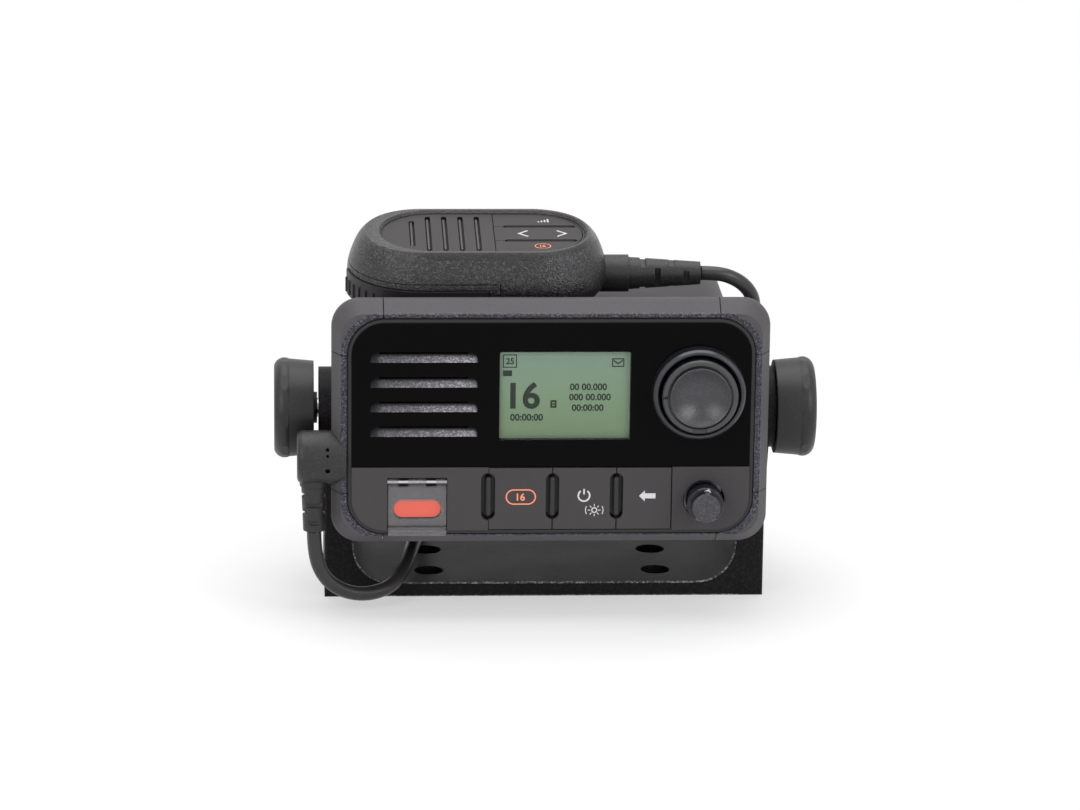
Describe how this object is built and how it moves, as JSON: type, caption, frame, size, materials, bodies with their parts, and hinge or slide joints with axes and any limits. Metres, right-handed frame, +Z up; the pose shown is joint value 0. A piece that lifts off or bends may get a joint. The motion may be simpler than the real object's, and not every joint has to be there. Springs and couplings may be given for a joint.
{
  "type": "vhf marine radio",
  "caption": "Fixed-mount marine radio in a U bracket with clamp knobs, front display, keys and two knobs, and a corded fist microphone resting on its case.",
  "frame": {"origin": "centre of the bracket's four screw holes, on the bracket's underside", "axes": "+Z up out of the bracket base; +X to the right as one faces the display; the display faces -Y"},
  "size_m": [0.2244, 0.221, 0.1585],
  "materials": {
    "bracket_plastic": "satin moulded, near black",
    "steel": "plain turned steel",
    "washer_rubber": "soft black rubber",
    "soft_grip": "soft-touch dark grey",
    "gloss_black": "black gloss",
    "lens": "clear window",
    "display": "grey-green display",
    "key_grey": "matte warm grey",
    "red_key": "bright red",
    "frosted": "frosted clear",
    "knob_grey": "textured dark grey",
    "inner_plastic": "plain black",
    "board": "green board",
    "speaker_body": "black",
    "case_plastic": "black moulded",
    "cast_alloy": "black painted casting",
    "brass": "plated brass",
    "cord_jacket": "smooth jacket"
  },
  "bodies": {
    "bracket": {"bracket": "bracket_plastic", "pivot_washers": "washer_rubber", "cord_curl": "cord_jacket"},
    "left_knob": {"bracket_knob_left": "bracket_plastic", "stud_left": "steel"},
    "right_knob": {"bracket_knob_right": "bracket_plastic", "stud_right": "steel"},
    "radio": {"bezel": "soft_grip", "corner_cap_top_left": "soft_grip", "corner_cap_top_right": "soft_grip", "corner_cap_bottom_left": "soft_grip", "corner_cap_bottom_right": "soft_grip", "rim_gasket": "washer_rubber", "fascia": "gloss_black", "lcd_lens": "lens", "lcd_module": "display", "keypad_panel": "key_grey", "cover_pin": "steel", "knob_collar": "knob_grey", "main_encoder": "inner_plastic", "volume_encoder": "inner_plastic", "front_board": "board", "speaker": "speaker_body", "case_gasket": "washer_rubber", "rear_case": "case_plastic", "pivot_inserts": "brass", "radio_board": "board", "heat_sink": "cast_alloy", "case_screws": "steel", "antenna_socket": "brass", "power_inlet": "inner_plastic", "data_inlet": "inner_plastic", "mic_plug": "case_plastic", "mic_socket": "inner_plastic", "plug_relief": "cord_jacket", "cord_plug_tail": "cord_jacket"},
    "main_rotor": {"main_rotor": "inner_plastic"},
    "main_knob": {"main_knob": "knob_grey", "main_shaft": "steel"},
    "volume_rotor": {"volume_rotor": "inner_plastic"},
    "volume_knob": {"volume_knob": "knob_grey", "volume_shaft": "steel"},
    "distress_cover": {"distress_cover": "frosted"},
    "distress_button": {"distress_button": "red_key"},
    "key_sixteen": {"key_sixteen": "key_grey"},
    "key_power": {"key_power": "key_grey"},
    "key_back": {"key_back": "key_grey"},
    "microphone": {"mic_front_shell": "gloss_black", "mic_rear_shell": "case_plastic", "mic_panel": "key_grey", "mic_relief": "cord_jacket", "mic_stud": "brass", "mic_screws": "steel", "mic_speaker": "speaker_body", "mic_board": "board", "cord_mic_tail": "cord_jacket"},
    "talk_button": {"mic_talk_button": "case_plastic"},
    "mic_key_sixteen": {"mic_key_sixteen": "key_grey"},
    "mic_rocker": {"mic_rocker": "key_grey"},
    "mic_key_power": {"mic_key_power": "key_grey"}
  },
  "joints": [
    {"name": "radio_tilt", "type": "hinge", "parent": "bracket", "child": "radio", "pos_m": [0, -0.0305, 0.082], "axis": [-1, 0, 0], "range_deg": [-15, 20], "deforming": ["cord_plug_tail", "cord_mic_tail", "cord_curl"]},
    {"name": "left_knob_turn", "type": "hinge", "parent": "bracket", "child": "left_knob", "pos_m": [0, -0.0305, 0.082], "axis": [1, 0, 0], "continuous": true},
    {"name": "right_knob_turn", "type": "hinge", "parent": "bracket", "child": "right_knob", "pos_m": [0, -0.0305, 0.082], "axis": [1, 0, 0], "continuous": true},
    {"name": "main_knob_turn", "type": "hinge", "parent": "radio", "child": "main_rotor", "pos_m": [0.06, -0.072, 0.0993], "axis": [0, 1, 0], "continuous": true},
    {"name": "main_knob_press", "type": "slide", "parent": "main_rotor", "child": "main_knob", "axis": [0, 1, 0], "range_m": [0, 0.0008], "stiffness_N_per_m": 900, "springref_m": -0.0004},
    {"name": "volume_knob_turn", "type": "hinge", "parent": "radio", "child": "volume_rotor", "pos_m": [0.063, -0.072, 0.0534], "axis": [0, 1, 0], "continuous": true},
    {"name": "volume_knob_press", "type": "slide", "parent": "volume_rotor", "child": "volume_knob", "axis": [0, 1, 0], "range_m": [0, 0.0008], "stiffness_N_per_m": 900, "springref_m": -0.0004},
    {"name": "distress_cover_open", "type": "hinge", "parent": "radio", "child": "distress_cover", "pos_m": [-0.0546, -0.0708, 0.06135], "axis": [-1, 0, 0], "range_deg": [0, 95], "stiffness_Nm_per_rad": 0.004, "springref_deg": -34.38},
    {"name": "distress_press", "type": "slide", "parent": "radio", "child": "distress_button", "axis": [0, 1, 0], "range_m": [0, 0.0008], "stiffness_N_per_m": 600, "springref_m": -0.0004},
    {"name": "key_sixteen_press", "type": "slide", "parent": "radio", "child": "key_sixteen", "axis": [0, 1, 0], "range_m": [0, 0.0008], "stiffness_N_per_m": 600, "springref_m": -0.0004},
    {"name": "key_power_press", "type": "slide", "parent": "radio", "child": "key_power", "axis": [0, 1, 0], "range_m": [0, 0.0008], "stiffness_N_per_m": 600, "springref_m": -0.0004},
    {"name": "key_back_press", "type": "slide", "parent": "radio", "child": "key_back", "axis": [0, 1, 0], "range_m": [0, 0.0008], "stiffness_N_per_m": 600, "springref_m": -0.0004},
    {"name": "microphone_lift", "type": "slide", "parent": "radio", "child": "microphone", "axis": [0, 0, 1], "range_m": [0, 0.05], "deforming": ["cord_mic_tail"]},
    {"name": "talk_press", "type": "slide", "parent": "microphone", "child": "talk_button", "axis": [0, 0.9903, 0.1392], "range_m": [0, 0.0016], "stiffness_N_per_m": 700, "springref_m": -0.0008},
    {"name": "mic_key_sixteen_press", "type": "slide", "parent": "microphone", "child": "mic_key_sixteen", "axis": [0, 0.1392, -0.9903], "range_m": [0, 0.0006], "stiffness_N_per_m": 500, "springref_m": -0.0004},
    {"name": "mic_rocker_tip", "type": "hinge", "parent": "microphone", "child": "mic_rocker", "pos_m": [-0.0033, -0.02029, 0.1517], "axis": [0, 0.9903, 0.1392], "range_deg": [-1.5, 1.5], "stiffness_Nm_per_rad": 0.4},
    {"name": "mic_key_power_press", "type": "slide", "parent": "microphone", "child": "mic_key_power", "axis": [0, 0.1392, -0.9903], "range_m": [0, 0.0006], "stiffness_N_per_m": 500, "springref_m": -0.0004}
  ]
}
